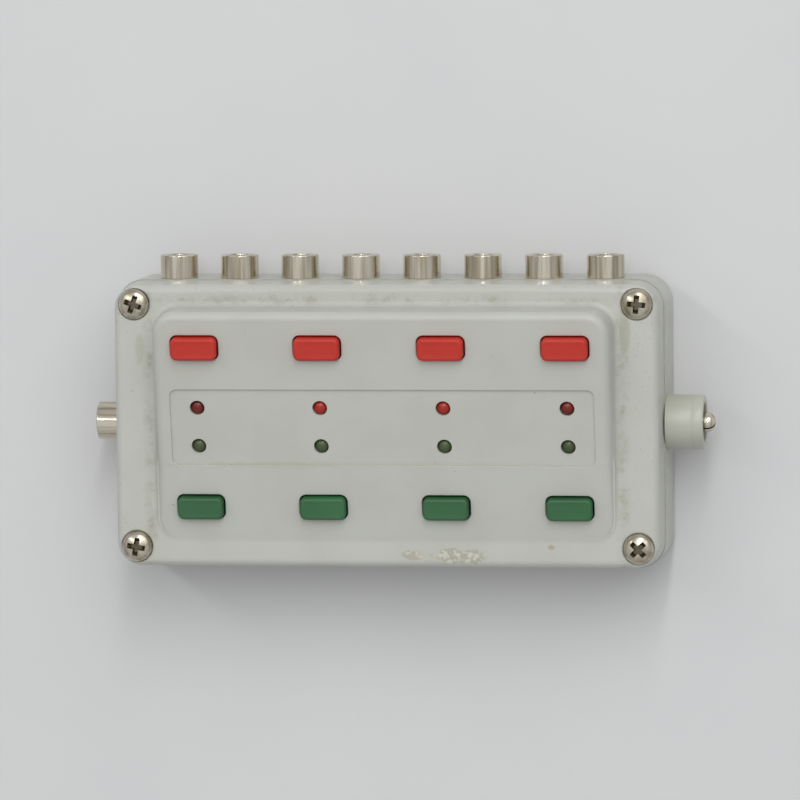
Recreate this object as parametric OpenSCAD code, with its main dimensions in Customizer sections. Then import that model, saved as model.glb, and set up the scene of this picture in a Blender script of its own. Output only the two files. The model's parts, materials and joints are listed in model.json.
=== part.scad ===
// Small desktop push-button control box: two-part housing, sloped keypad with eight
// keys and eight lamps, a row of line sockets behind, and link contacts at both ends.
// Millimetres. Origin: centre of the underside. +X right, +Y to the sockets, +Z up.

/* [Housing] */
// Width of the housing, left to right
housing_w = 70.2; // [58.5:0.1:84.4]
// Depth of the housing, front to back
housing_d = 36.6; // [30.5:0.1:44]
// Height of the base tray, up to the seam
base_h = 10; // [8.3:0.1:12]
// Height of the top cover, from the seam to its ledge
cover_h = 4.4; // [3.7:0.1:5.3]
// Thickness of the side walls
wall_t = 1.6; // [1.3:0.05:1.95]
// Thickness of the tray's floor
floor_t = 1.6; // [1.3:0.05:2]
// Thickness of the cover's ledge and keypad
cover_t = 1.6; // [1.3:0.05:2]
// Radius of the housing's upright corners
corner_r = 3.5; // [2.9:0.1:4.2]
// Step in from the tray's wall to the cover's wall at the seam
seam_step = 0.13; // [0.1:0.01:0.2]
// Lean of the cover's walls between the seam and the ledge
cover_draft = 0.25; // [0.1:0.01:0.3]
// Rounding of the cover's outer top edge
ledge_edge_r = 0.55; // [0.4:0.05:0.7]
// Height of the rim that locates the cover on the tray
rim_h = 1; // [0.8:0.05:1.2]
// Thickness of that rim
rim_t = 0.7; // [0.5:0.05:0.8]
// Gap round the rim
rim_gap = 0.1; // [0.05:0.01:0.12]

/* [Keypad] */
// Slope of the keypad, in degrees
slope = 10.4; // [8.5:0.1:12]
// Width of the ledge beside the keypad
side_ledge = 5.85; // [5.5:0.05:6.5]
// Width of the ledge behind the keypad
back_ledge = 3.2; // [2.8:0.05:3.5]
// Width of the ledge in front of the keypad
front_ledge = 3.5; // [3:0.05:4.2]
// Thickness of the raised keypad's walls
keypad_wall_t = 1.2; // [1:0.05:1.45]
// Corner radius of the keypad
keypad_r = 3.4; // [2.8:0.1:4.1]
// Rounding of the keypad's top edge
keypad_edge_r = 0.8; // [0.6:0.05:1]
// Lean of the keypad's side walls
keypad_lean = 0.15; // [0.1:0.01:0.25]
// Width of the sunken label field
label_w = 54; // [44:0.1:55]
// Depth of the label field along the slope
label_d = 9.9; // [8.5:0.1:11.8]
// Corner radius of the label field
label_r = 0.9; // [0.5:0.1:1.5]
// How far the label field is sunk
label_sunk = 0.25; // [0.15:0.01:0.35]

/* [Keys] */
// Width of a key cap
cap_w = 5.8; // [4.8:0.05:7]
// Depth of a key cap along the slope
cap_d = 2.85; // [2.4:0.05:3.3]
// Corner radius of a key cap
cap_r = 0.7; // [0.5:0.05:1]
// Rounding of the key cap's top edge
cap_edge_r = 0.35; // [0.2:0.05:0.4]
// How far a key stands out of the keypad
cap_out = 1.1; // [0.95:0.05:1.35]
// Gap between a key cap and its window
cap_gap = 0.18; // [0.1:0.01:0.25]
// Travel of a key
key_travel = 0.8; // [0.6:0.05:1]
// Distance from each end of the housing to the nearest key column
key_col_margin = 11.55; // [11:0.05:12.5]
// Distance from the front or back of the housing to the nearest key row
key_row_margin = 8.05; // [7.9:0.05:8.8]
// Number of key columns
key_cols = 4; // [4]
// Width of the flange that keeps a key in its window, past the cap
key_lip = 0.65; // [0.5:0.05:0.8]
// Thickness of that flange
key_lip_t = 0.8; // [0.6:0.05:1]

/* [Lamps] */
// Diameter of a lamp
lamp_d = 1.8; // [1.5:0.1:2]
// Gap between a lamp and its hole
lamp_gap = 0.05; // [0.03:0.01:0.1]
// Distance from the label field's middle to each lamp row
lamp_row_v = 2.5; // [2.2:0.1:3]
// Length of a lamp, tip to base
lamp_len = 3.1; // [2.6:0.1:3.7]

/* [Switches and board] */
// Distance from the keypad's face down to the circuit board
board_drop = 7.4; // [7:0.05:7.8]
// Thickness of the circuit board
board_t = 1.2; // [1:0.1:1.6]
// Gap between the board and the keypad's walls
board_gap = 0.15; // [0.1:0.05:0.3]
// Width of a switch case
switch_w = 6; // [5.2:0.1:6.4]
// Depth of a switch case along the slope
switch_d = 4.2; // [4:0.1:4.4]
// Diameter of the bore in a switch case
switch_bore_d = 3.5; // [3.3:0.05:3.7]
// Diameter of a switch plunger's stem
stem_d = 2.3; // [2:0.05:2.5]
// Diameter of the screws that hold the board
board_screw_d = 1.6; // [1.4:0.1:1.9]
// Diameter of the posts under the cover that carry the board
post_d = 3.8; // [3.4:0.1:4]

/* [Sockets] */
// Outer diameter of a socket's ferrule
ferrule_d = 4.8; // [4:0.05:5.4]
// How far a ferrule stands out of the wall
ferrule_out = 3; // [2.5:0.1:3.6]
// Diameter of a socket's bore, for a standard round plug
socket_bore_d = 2.6; // [2.2:0.05:2.8]
// Diameter of a socket's neck, where it goes through the wall
neck_d = 3.6; // [3.3:0.05:3.75]
// How far a socket reaches past the inner side of the wall
neck_in = 4.5; // [3.8:0.1:4.8]
// Distance from the seam down to the sockets' axis
socket_below_seam = 2.5; // [2.45:0.05:2.9]
// Number of line sockets
socket_count = 8; // [8]
// Outer diameter of the link sleeve
sleeve_d = 7; // [6.5:0.1:8.4]
// Inner diameter of the link sleeve, past the ferrule that goes in
sleeve_gap = 0.1; // [0.05:0.01:0.2]
// Length of the link sleeve outside the wall
sleeve_out = 4.8; // [4:0.1:5.7]
// Diameter of the link pin
link_pin_d = 2.5; // [2.1:0.05:2.55]
// Diameter of the link pin's root, inside the sleeve's neck
link_root_d = 3; // [2.7:0.1:3.4]
// How far the link pin stands out past the sleeve
link_pin_past = 1.3; // [1:0.1:1.6]
// Width of the slit in the link pin
link_slit = 0.4; // [0.3:0.05:0.5]

/* [Cover screws] */
// Diameter of a screw's head
head_d = 3.9; // [3.3:0.1:4.2]
// Height of a screw's head
head_h = 1.3; // [1.1:0.1:1.6]
// Diameter of a screw's shank
shank_d = 2.2; // [1.9:0.1:2.5]
// Length of a screw under its head
screw_len = 8; // [6.7:0.1:8.8]
// Distance from the housing's ends to the screws
screw_in_x = 3; // [2.8:0.05:3.2]
// Distance from the housing's front and back to the screws
screw_in_y = 2.85; // [2.7:0.05:3]
// Diameter of the bosses round the screws
boss_d = 4.2; // [4:0.1:4.4]
// Depth of the seat that a head sits in
head_sunk = 0.4; // [0.3:0.05:0.5]
// Gap round a head and a shank
screw_gap = 0.2; // [0.1:0.05:0.25]

/* [Hidden] */
$fn = 48;
hull_fn = 32;
cut = 0.5;
skin = 0.01;

ledge_z = base_h + cover_h;
cover_in_w = housing_w - 2 * wall_t;
cover_in_d = housing_d - 2 * wall_t;
in_r = corner_r - wall_t;
rim_w = cover_in_w + 2 * rim_t;
rim_d = cover_in_d + 2 * rim_t;

// the keypad's face is a plane that rises out of the ledge at the front
face_z = ledge_z + (housing_d / 2 - front_ledge) * tan(slope);
keypad_w = housing_w - 2 * side_ledge;
keypad_back_y = housing_d / 2 - back_ledge;
keypad_front_y = -housing_d / 2 + front_ledge;
// top face's ends along the slope, where the back wall leans in and the front runs out
face_back_v = (keypad_back_y - keypad_lean - (face_z - ledge_z) * tan(slope) / 2) / cos(slope)
    - keypad_edge_r * tan(slope);
face_front_v = keypad_front_y / cos(slope);

key_pitch = (housing_w - 2 * key_col_margin) / (key_cols - 1);
key_row_v = (housing_d / 2 - key_row_margin) / cos(slope);
key_x = [for (i = [0 : key_cols - 1]) (i - (key_cols - 1) / 2) * key_pitch];
window_w = cap_w + 2 * cap_gap;
window_d = cap_d + 2 * cap_gap;
window_r = cap_r + cap_gap;
lip_w = cap_w + 2 * key_lip;
lip_d = cap_d + 2 * key_lip;
stop_gap = 0.05;
lip_top = -cover_t - stop_gap;
lip_bottom = lip_top - key_lip_t;

// switch: its top stays clear of the key's flange when the key is down
press_gap = 0.15;
plate_t = 0.3;
case_floor = 0.7;
case_top = lip_bottom - key_travel - press_gap - plate_t;
case_bottom = -board_drop;
case_floor_w = case_bottom + case_floor;
stem_gap = 0.1;
plunger_gap = 0.05;
disc_t = 0.6;
disc_top = case_top - plunger_gap;
disc_bottom = disc_top - disc_t;
disc_d = switch_bore_d - 0.3;
nib_d = 1.6;
pad_t = 0.1;
nib_bottom = case_floor_w + pad_t + stop_gap + key_travel;
blade_w = 1.4;
blade_d = 1;
blade_h = 1.4;
blade_gap = 0.03;
terminal_x = 0.7;
terminal_w = 0.5;
terminal_t = 0.25;
lead_out = 1;

wire_d = 0.18;
spring_gap = 0.02;
spring_r = disc_d / 2 - wire_d / 2 - 0.1;
spring_turns = 4;
spring_steps = 10;
spring_sides = 6;

board_bottom = -board_drop - board_t;
board_w = keypad_w - 2 * (keypad_wall_t + keypad_lean + board_gap);
board_d = 2 * (key_row_v + switch_d / 2);
post_x = key_pitch;
post_v = key_row_v;
post_hole = 4;
hole_gap = 0.1;
board_head_d = board_screw_d * 2;
board_head_h = 1;

lamp_tip = -label_sunk - 0.05;
lamp_base = lamp_tip - lamp_len;
lamp_lip_t = 0.5;
lamp_lip = 0.25;
lamp_lead_x = 0.5;
lead_d = 0.4;

socket_z = base_h - socket_below_seam;
ring_d = neck_d + 0.9;
ring_t = 0.8;
neck_gap = 0.05;
socket_end_t = 0.8;
socket_len = ferrule_out + wall_t + neck_in;
ferrule_chamfer = 0.25;
boss_to_ring = 0.35;
socket_end_margin = screw_in_x + boss_d / 2 + ring_d / 2 + boss_to_ring;
socket_pitch = (housing_w - 2 * socket_end_margin) / (socket_count - 1);
sleeve_bore_d = ferrule_d + 2 * sleeve_gap;
sleeve_web = 0.6;
sleeve_neck_d = neck_d + 0.8;
sleeve_in = wall_t + 0.9;
pin_out = sleeve_out + link_pin_past;
pin_tip_r = 0.9;
// the slit stays in the outer half of the pin's free length
slit_depth = pin_out - (sleeve_web + pin_out - pin_tip_r) / 2 - 0.3;

socket_wire_d = 0.6;
bend_swell = 0.06;
wire_in = 1.5;
chip_w = 6.4;
chip_l = 18.8;
chip_h = 3.2;
// the chip lies across the box, below the cut ends of the lamp leads
chip_up = lead_out + 0.3;
chip_pins_a_side = 7;
chip_pin_pitch = 2.54;
chip_row = 7.62;
resistor_d = 1.8;
resistor_l = 3.9;
resistor_v = chip_row / 2 + lead_d / 2 + resistor_d / 2 + 0.35;
resistor_span = 6.4;
capacitor_size = [2.6, 6.2, 4];
capacitor_leads = 5;

screw_x = housing_w / 2 - screw_in_x;
screw_y = housing_d / 2 - screw_in_y;
head_seat_z = ledge_z - head_sunk;
shank_hole_below = 0.5;
cross_w = 1.9;
cross_t = 0.5;
cross_depth = 0.8;
// turn of each screw's cross as it was left: front left, front right, back left, back right
cross_turn = [-10, 45, -20, -5];

plastic = [0.73, 0.74, 0.71];
nickel = [0.72, 0.69, 0.62];
red = [0.78, 0.2, 0.16];
green = [0.13, 0.42, 0.22];
brass = [0.78, 0.66, 0.36];

// ---- placing and plain shapes

// frame of the keypad's face: x across, y up the slope, z out of the face
module on_face() translate([0, 0, face_z]) rotate([slope, 0, 0]) children();

module at_key(column, side) on_face() translate([key_x[column], side * key_row_v, 0]) children();

module at_every_key() for (column = [0 : key_cols - 1], side = [-1, 1]) at_key(column, side) children();

module at_lamp_row(side) on_face() for (x = key_x) translate([x, side * lamp_row_v, 0]) children();

module at_posts() on_face() for (x = [-1, 1], v = [-1, 1]) translate([x * post_x, v * post_v, 0]) children();

module at_screws() for (x = [-1, 1], y = [-1, 1]) translate([x * screw_x, y * screw_y, 0]) children();

// frame of a wall opening: z out of the wall, origin on the wall's outer face
module on_back(x) translate([x, housing_d / 2, socket_z]) rotate([-90, 0, 0]) children();

module on_left() translate([-housing_w / 2, 0, socket_z]) rotate([0, -90, 0]) children();

module on_right() translate([housing_w / 2, 0, socket_z]) rotate([0, 90, 0]) children();

function line_x(i) = (i - (socket_count - 1) / 2) * socket_pitch;

module rounded_rect(w, d, r) {
    square([w - 2 * r, d], center = true);
    square([w, d - 2 * r], center = true);
    for (x = [-1, 1], y = [-1, 1]) translate([x * (w / 2 - r), y * (d / 2 - r)]) circle(r);
}

module block(w, d, r, z0, z1) translate([0, 0, z0]) linear_extrude(z1 - z0) rounded_rect(w, d, r);

// round bar from a to b
module rod(a, b, d) {
    run = b - a;
    length = norm(run);
    translate(a)
        rotate([0, acos(run[2] / length), atan2(run[1], run[0])])
            cylinder(h = length, d = d, $fn = 24);
}

// round wire through the points, a little thicker at each bend
module wire(points, d) {
    for (i = [1 : len(points) - 1]) rod(points[i - 1], points[i], d);
    for (i = [1 : len(points) - 2]) translate(points[i]) sphere(d = d + bend_swell, $fn = 24);
}

// ---- housing

module base_tray() color(plastic) {
    difference() {
        union() {
            difference() {
                block(housing_w, housing_d, corner_r, 0, base_h);
                block(cover_in_w, cover_in_d, in_r, floor_t, base_h + cut);
            }
            // locating rim, broken at the screws
            difference() {
                block(rim_w, rim_d, in_r + rim_t, base_h - cut, base_h + rim_h);
                block(cover_in_w, cover_in_d, in_r, base_h - 2 * cut, base_h + rim_h + cut);
                at_screws() cylinder(h = base_h + cover_h, d = boss_d + 2 * rim_gap);
            }
            at_screws() translate([0, 0, floor_t - cut]) cylinder(h = base_h - floor_t + cut, d = boss_d);
        }
        at_screws() translate([0, 0, head_seat_z - screw_len - shank_hole_below])
            cylinder(h = base_h, d = shank_d);
        for (i = [0 : socket_count - 1]) on_back(line_x(i)) wall_hole(neck_d);
        on_left() wall_hole(neck_d);
        on_right() wall_hole(sleeve_neck_d);
    }
}

module wall_hole(d) translate([0, 0, -wall_t - cut]) cylinder(h = wall_t + 2 * cut, d = d + 2 * neck_gap);

// thin slice of the keypad block in its face's frame, grown inwards by inset
module face_slice(inset, w) {
    front = face_front_v - keypad_edge_r + inset;
    back = face_back_v + keypad_edge_r - inset;
    translate([0, (front + back) / 2, w - skin])
        linear_extrude(skin)
            rounded_rect(keypad_w - 2 * (keypad_lean + inset), back - front, keypad_r - inset, $fn = hull_fn);
}

module keypad_foot(inset) {
    depth = keypad_back_y - keypad_front_y;
    translate([0, (keypad_back_y + keypad_front_y) / 2, 0])
        rounded_rect(keypad_w - 2 * inset, depth - 2 * inset, keypad_r - inset, $fn = hull_fn);
}

module keypad_block() hull() {
    translate([0, 0, ledge_z - cover_t]) linear_extrude(cover_t) keypad_foot(0);
    on_face() face_slice(0, -keypad_edge_r);
    on_face() face_slice(keypad_edge_r * (1 - cos(45)), -keypad_edge_r * (1 - sin(45)));
    on_face() face_slice(keypad_edge_r, 0);
}

module keypad_hollow() hull() {
    translate([0, 0, base_h - cut]) linear_extrude(skin) keypad_foot(keypad_wall_t);
    on_face() face_slice(keypad_wall_t, -cover_t);
}

module cover_outside() {
    seam_w = housing_w - 2 * seam_step;
    seam_d = housing_d - 2 * seam_step;
    hull() {
        for (step = [[0, base_h], [cover_draft, ledge_z - ledge_edge_r]])
            block(seam_w - 2 * step[0], seam_d - 2 * step[0], corner_r - step[0], step[1], step[1] + skin,
                $fn = hull_fn);
        for (a = [30, 60, 90]) {
            inset = cover_draft + ledge_edge_r * (1 - cos(a));
            z = ledge_z - ledge_edge_r * (1 - sin(a));
            block(seam_w - 2 * inset, seam_d - 2 * inset, corner_r - inset, z - skin, z, $fn = hull_fn);
        }
    }
}

module top_cover() color(plastic) difference() {
    union() {
        difference() {
            union() {
                cover_outside();
                keypad_block();
            }
            block(cover_in_w, cover_in_d, in_r, base_h - cut, ledge_z - cover_t);
            block(rim_w + 2 * rim_gap, rim_d + 2 * rim_gap, in_r + rim_t + rim_gap,
                base_h - cut, base_h + rim_h + rim_gap);
            keypad_hollow();
        }
        at_screws() translate([0, 0, base_h]) cylinder(h = ledge_z - cover_t / 2 - base_h, d = boss_d);
        at_posts() translate([0, 0, -board_drop]) cylinder(h = board_drop - cover_t / 2, d = post_d);
    }
    at_screws() {
        translate([0, 0, head_seat_z]) cylinder(h = head_sunk + cut, d = head_d + 2 * screw_gap);
        cylinder(h = ledge_z, d = shank_d + 2 * screw_gap);
    }
    at_posts() translate([0, 0, -board_drop - cut]) cylinder(h = post_hole + cut, d = board_screw_d);
    on_face() block(label_w, label_d, label_r, -label_sunk, cut);
    at_every_key() block(window_w, window_d, window_r, -cover_t - cut, cut);
    for (side = [-1, 1]) at_lamp_row(side)
        translate([0, 0, -cover_t - cut]) cylinder(h = cover_t + 2 * cut, d = lamp_d + 2 * lamp_gap);
}

module cross_recess(w, t, depth) for (a = [0, 90]) rotate(a)
    translate([-w / 2, -t / 2, -depth]) cube([w, t, depth + cut]);

module pan_head(d, h) {
    crown = h * 0.35;
    cylinder(h = h - crown, d = d);
    translate([0, 0, h - crown]) cylinder(h = crown, d1 = d, d2 = d * 0.62);
}

module cover_screws() color(nickel)
    for (i = [0 : 3]) translate([(i % 2 * 2 - 1) * screw_x, (floor(i / 2) * 2 - 1) * screw_y, head_seat_z]) {
        difference() {
            pan_head(head_d, head_h);
            translate([0, 0, head_h]) rotate(cross_turn[i]) cross_recess(cross_w, cross_t, cross_depth);
        }
        translate([0, 0, -screw_len]) cylinder(h = screw_len, d = shank_d);
    }

// ---- keys and switches

module button(column, side) color(side > 0 ? red : green) at_key(column, side) difference() {
    union() {
        block(cap_w, cap_d, cap_r, lip_bottom, cap_out - cap_edge_r);
        hull() for (a = [0, 30, 60, 90]) {
            inset = cap_edge_r * (1 - cos(a));
            top = cap_out - cap_edge_r * (1 - sin(a));
            block(cap_w - 2 * inset, cap_d - 2 * inset, cap_r - inset, top - skin, top, $fn = hull_fn);
        }
        block(lip_w, lip_d, cap_r, lip_bottom, lip_top);
    }
    translate([-blade_w / 2 - blade_gap, -blade_d / 2 - blade_gap, lip_bottom - cut])
        cube([blade_w + 2 * blade_gap, blade_d + 2 * blade_gap, blade_h + blade_gap + cut]);
}

module plunger(column, side) color("gainsboro") at_key(column, side) {
    translate([0, 0, nib_bottom]) cylinder(h = disc_bottom - nib_bottom, d = nib_d);
    translate([0, 0, disc_bottom]) cylinder(h = disc_t, d = disc_d);
    translate([0, 0, disc_top]) cylinder(h = lip_bottom - disc_top, d = stem_d);
    translate([-blade_w / 2, -blade_d / 2, lip_bottom]) cube([blade_w, blade_d, blade_h]);
}

function coil_ring(a, w) = [
    for (i = [0 : spring_sides - 1])
        let (t = 360 * i / spring_sides, r = spring_r + wire_d / 2 * cos(t))
            [r * cos(a), r * sin(a), w + wire_d / 2 * sin(t)]
];

module return_spring(column, side) color("silver") at_key(column, side) {
    rings = spring_turns * spring_steps;
    low = case_floor_w + spring_gap + wire_d / 2;
    high = disc_bottom - spring_gap - wire_d / 2;
    n = spring_sides;
    points = [for (k = [0 : rings]) each coil_ring(360 * k / spring_steps, low + (high - low) * k / rings)];
    sides = [
        for (k = [0 : rings - 1], i = [0 : n - 1])
            [k * n + i, (k + 1) * n + i, (k + 1) * n + (i + 1) % n, k * n + (i + 1) % n]
    ];
    polyhedron(points, concat(
        [[for (i = [0 : n - 1]) i]],
        sides,
        [[for (i = [n - 1 : -1 : 0]) rings * n + i]]));
}

module terminal_cuts(top) for (x = [-1, 1])
    translate([x * terminal_x - terminal_w / 2, -terminal_t / 2, case_bottom - cut])
        cube([terminal_w, terminal_t, top - case_bottom + cut]);

module switch_cases() color([0.12, 0.12, 0.13]) at_every_key() difference() {
    translate([-switch_w / 2, -switch_d / 2, case_bottom]) cube([switch_w, switch_d, case_top - case_bottom]);
    translate([0, 0, case_floor_w]) cylinder(h = -case_floor_w, d = switch_bore_d);
    terminal_cuts(case_floor_w + cut);
}

module switch_cover_plates() color("silver") at_every_key() difference() {
    translate([-switch_w / 2, -switch_d / 2, case_top]) cube([switch_w, switch_d, plate_t]);
    translate([0, 0, case_top - cut]) cylinder(h = plate_t + 2 * cut, d = stem_d + 2 * stem_gap);
}

module switch_terminals() color(brass) at_every_key() for (x = [-1, 1]) {
    translate([x * terminal_x - terminal_w / 2, -terminal_t / 2, board_bottom - lead_out])
        cube([terminal_w, terminal_t, case_floor_w - board_bottom + lead_out]);
    translate([x * terminal_x - terminal_w / 2, -terminal_w / 2, case_floor_w])
        cube([terminal_w, terminal_w, pad_t]);
}

// ---- board and what is soldered to it

module at_resistors() on_face() for (x = key_x, v = [-1, 1])
    translate([x, v * resistor_v, board_bottom - resistor_d / 2 - hole_gap]) children();

module at_chip_pins() on_face() for (i = [0 : chip_pins_a_side - 1], v = [-1, 1])
    translate([(i - (chip_pins_a_side - 1) / 2) * chip_pin_pitch, v * chip_row / 2, 0]) children();

module at_capacitor() on_face() translate([key_pitch, 0, board_bottom]) children();

module drill(d) translate([0, 0, board_bottom - cut]) cylinder(h = board_t + 2 * cut, d = d, $fn = 24);

module circuit_board() color([0.45, 0.36, 0.2]) difference() {
    on_face() translate([-board_w / 2, -board_d / 2, board_bottom]) cube([board_w, board_d, board_t]);
    at_posts() drill(board_screw_d + 2 * hole_gap);
    at_every_key() for (x = [-1, 1]) translate([x * terminal_x, 0, 0]) drill(terminal_w + 2 * hole_gap);
    for (side = [-1, 1], x = [-1, 1])
        at_lamp_row(side) translate([x * lamp_lead_x, 0, 0]) drill(lead_d + 2 * hole_gap);
    at_chip_pins() drill(lead_d + 3 * hole_gap);
    on_face() for (x = key_x, v = [-1, 1], end = [-1, 1])
        translate([x + end * resistor_span / 2, v * resistor_v, 0]) drill(lead_d + 2 * hole_gap);
    on_face() for (end = [-1, 1])
        translate([key_pitch, end * capacitor_leads / 2, 0]) drill(lead_d + 2 * hole_gap);
    for (i = [0 : socket_count - 1]) wire_hole(line_wire(i));
    wire_hole(side_wire(-1));
    wire_hole(side_wire(1));
}

module wire_hole(points)
    rod(points[2] - [0, 0, board_t], points[2] + [0, 0, 2 * board_t], socket_wire_d + 2 * hole_gap);

module board_screws() color(nickel) at_posts() {
    translate([0, 0, board_bottom]) mirror([0, 0, 1]) difference() {
        pan_head(board_head_d, board_head_h);
        translate([0, 0, board_head_h]) cross_recess(cross_w * 0.8, cross_t * 0.8, board_head_h / 2);
    }
    translate([0, 0, board_bottom]) cylinder(h = board_t + post_hole - 2 * hole_gap, d = board_screw_d);
}

module lamp() {
    r = lamp_d / 2;
    translate([0, 0, lamp_base]) cylinder(h = lamp_len - r, d = lamp_d);
    translate([0, 0, lamp_tip - r]) sphere(r);
    translate([0, 0, lamp_base]) cylinder(h = lamp_lip_t, r = r + lamp_lip);
}

module red_lamps() color([0.5, 0.08, 0.08]) at_lamp_row(1) lamp();

module green_lamps() color([0.22, 0.28, 0.18]) at_lamp_row(-1) lamp();

module lamp_leads() color(nickel) for (side = [-1, 1], x = [-1, 1])
    at_lamp_row(side) translate([x * lamp_lead_x, 0, board_bottom - lead_out])
        cylinder(h = lamp_base - board_bottom + lead_out, d = lead_d, $fn = 24);

module latch_chip() color([0.1, 0.1, 0.1]) on_face()
    translate([-chip_l / 2, -chip_w / 2, board_bottom - chip_up - chip_h])
        cube([chip_l, chip_w, chip_h]);

module chip_pins() color("silver") at_chip_pins() {
    translate([-lead_d / 2, -lead_d / 2, board_bottom - chip_up - chip_h / 2])
        cube([lead_d, lead_d, chip_up + chip_h / 2 + board_t - hole_gap]);
}

module lamp_resistors() color([0.76, 0.62, 0.42]) at_resistors()
    rotate([0, 90, 0]) cylinder(h = resistor_l, d = resistor_d, center = true);

module resistor_leads() color("silver") at_resistors() for (end = [-1, 1]) {
    up = board_t + resistor_d / 2;
    wire([[end * resistor_l / 2, 0, 0], [end * resistor_span / 2, 0, 0], [end * resistor_span / 2, 0, up]],
        lead_d);
}

module filter_capacitor() color([0.6, 0.15, 0.12]) at_capacitor()
    translate([0, 0, -capacitor_size[2] / 2]) cube(capacitor_size, center = true);

module capacitor_leads() color("silver") at_capacitor() for (end = [-1, 1])
    translate([0, end * capacitor_leads / 2, 0]) cylinder(h = board_t - hole_gap, d = lead_d, $fn = 24);

// ---- sockets and link contacts

module socket() color(nickel) difference() {
    union() {
        cylinder(h = ferrule_out - ferrule_chamfer, d = ferrule_d);
        translate([0, 0, ferrule_out - ferrule_chamfer])
            cylinder(h = ferrule_chamfer, d1 = ferrule_d, d2 = ferrule_d - 2 * ferrule_chamfer);
        translate([0, 0, -wall_t - neck_in]) cylinder(h = wall_t + neck_in + cut, d = neck_d);
    }
    translate([0, 0, -wall_t - neck_in + socket_end_t]) cylinder(h = socket_len, d = socket_bore_d);
}

module line_socket(i) on_back(line_x(i)) socket();

module link_socket() on_left() socket();

// sleeve moulded with a neck that goes through the wall
module link_sleeve() color([0.69, 0.7, 0.66]) on_right() difference() {
    union() {
        cylinder(h = sleeve_out, d = sleeve_d);
        translate([0, 0, -sleeve_in]) cylinder(h = sleeve_in + cut, d = sleeve_neck_d);
    }
    translate([0, 0, sleeve_web]) cylinder(h = sleeve_out, d = sleeve_bore_d);
    translate([0, 0, -sleeve_in - cut]) cylinder(h = sleeve_out + sleeve_in, d = link_root_d);
}

module link_pin() color(nickel) on_right() difference() {
    union() {
        translate([0, 0, -wall_t - neck_in]) cylinder(h = wall_t + neck_in + sleeve_web, d = link_root_d);
        translate([0, 0, sleeve_web]) cylinder(h = pin_out - pin_tip_r - sleeve_web, d = link_pin_d);
        translate([0, 0, pin_out - pin_tip_r])
            cylinder(h = pin_tip_r, d1 = link_pin_d, d2 = link_pin_d - pin_tip_r);
    }
    translate([-link_pin_d, -link_slit / 2, pin_out - slit_depth])
        cube([2 * link_pin_d, link_slit, slit_depth + cut]);
}

module lock_ring() translate([0, 0, -wall_t - ring_t]) difference() {
    cylinder(h = ring_t, d = ring_d);
    translate([0, 0, -cut]) cylinder(h = ring_t + 2 * cut, d = neck_d);
}

module socket_lock_rings() color("silver") {
    for (i = [0 : socket_count - 1]) on_back(line_x(i)) lock_ring();
    on_left() lock_ring();
}

// height of the board's middle plane above a point of the ground plan
function board_mid_z(y) = face_z + y * tan(slope) - (board_drop + board_t / 2) / cos(slope);

function line_wire(i) =
    let (
        x = line_x(i),
        board_x = sign(x) * min(abs(x), board_w / 2 - 0.7),
        y = housing_d / 2 - wall_t - neck_in
    )
    [[x, y, socket_z], [board_x, y - wire_in, socket_z], [board_x, y - wire_in, board_mid_z(y - wire_in)]];

function side_wire(side) =
    let (x = side * (housing_w / 2 - wall_t - neck_in), board_x = side * (board_w / 2 - 0.9))
    [[x, 0, socket_z], [board_x, 0, socket_z], [board_x, 0, board_mid_z(0)]];

module socket_wires() color([0.7, 0.5, 0.3]) {
    for (i = [0 : socket_count - 1]) wire(line_wire(i), socket_wire_d);
    wire(side_wire(-1), socket_wire_d);
    wire(side_wire(1), socket_wire_d);
}

base_tray();
top_cover();
cover_screws();
button(0, 1);  // red_button_1
button(1, 1);  // red_button_2
button(2, 1);  // red_button_3
button(3, 1);  // red_button_4
button(0, -1);  // green_button_1
button(1, -1);  // green_button_2
button(2, -1);  // green_button_3
button(3, -1);  // green_button_4
plunger(0, 1);  // red_plunger_1
plunger(1, 1);  // red_plunger_2
plunger(2, 1);  // red_plunger_3
plunger(3, 1);  // red_plunger_4
plunger(0, -1);  // green_plunger_1
plunger(1, -1);  // green_plunger_2
plunger(2, -1);  // green_plunger_3
plunger(3, -1);  // green_plunger_4
return_spring(0, 1);  // red_return_spring_1
return_spring(1, 1);  // red_return_spring_2
return_spring(2, 1);  // red_return_spring_3
return_spring(3, 1);  // red_return_spring_4
return_spring(0, -1);  // green_return_spring_1
return_spring(1, -1);  // green_return_spring_2
return_spring(2, -1);  // green_return_spring_3
return_spring(3, -1);  // green_return_spring_4
switch_cases();
switch_cover_plates();
switch_terminals();
circuit_board();
board_screws();
red_lamps();
green_lamps();
lamp_leads();
line_socket(0);  // line_socket_1
line_socket(1);  // line_socket_2
line_socket(2);  // line_socket_3
line_socket(3);  // line_socket_4
line_socket(4);  // line_socket_5
line_socket(5);  // line_socket_6
line_socket(6);  // line_socket_7
line_socket(7);  // line_socket_8
link_socket();
link_sleeve();
link_pin();
socket_lock_rings();
socket_wires();
latch_chip();
chip_pins();
lamp_resistors();
resistor_leads();
filter_capacitor();
capacitor_leads();
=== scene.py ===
# Desktop push-button control box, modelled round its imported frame
import bpy
import bmesh
import json
import math
from mathutils import Matrix, Vector


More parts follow.
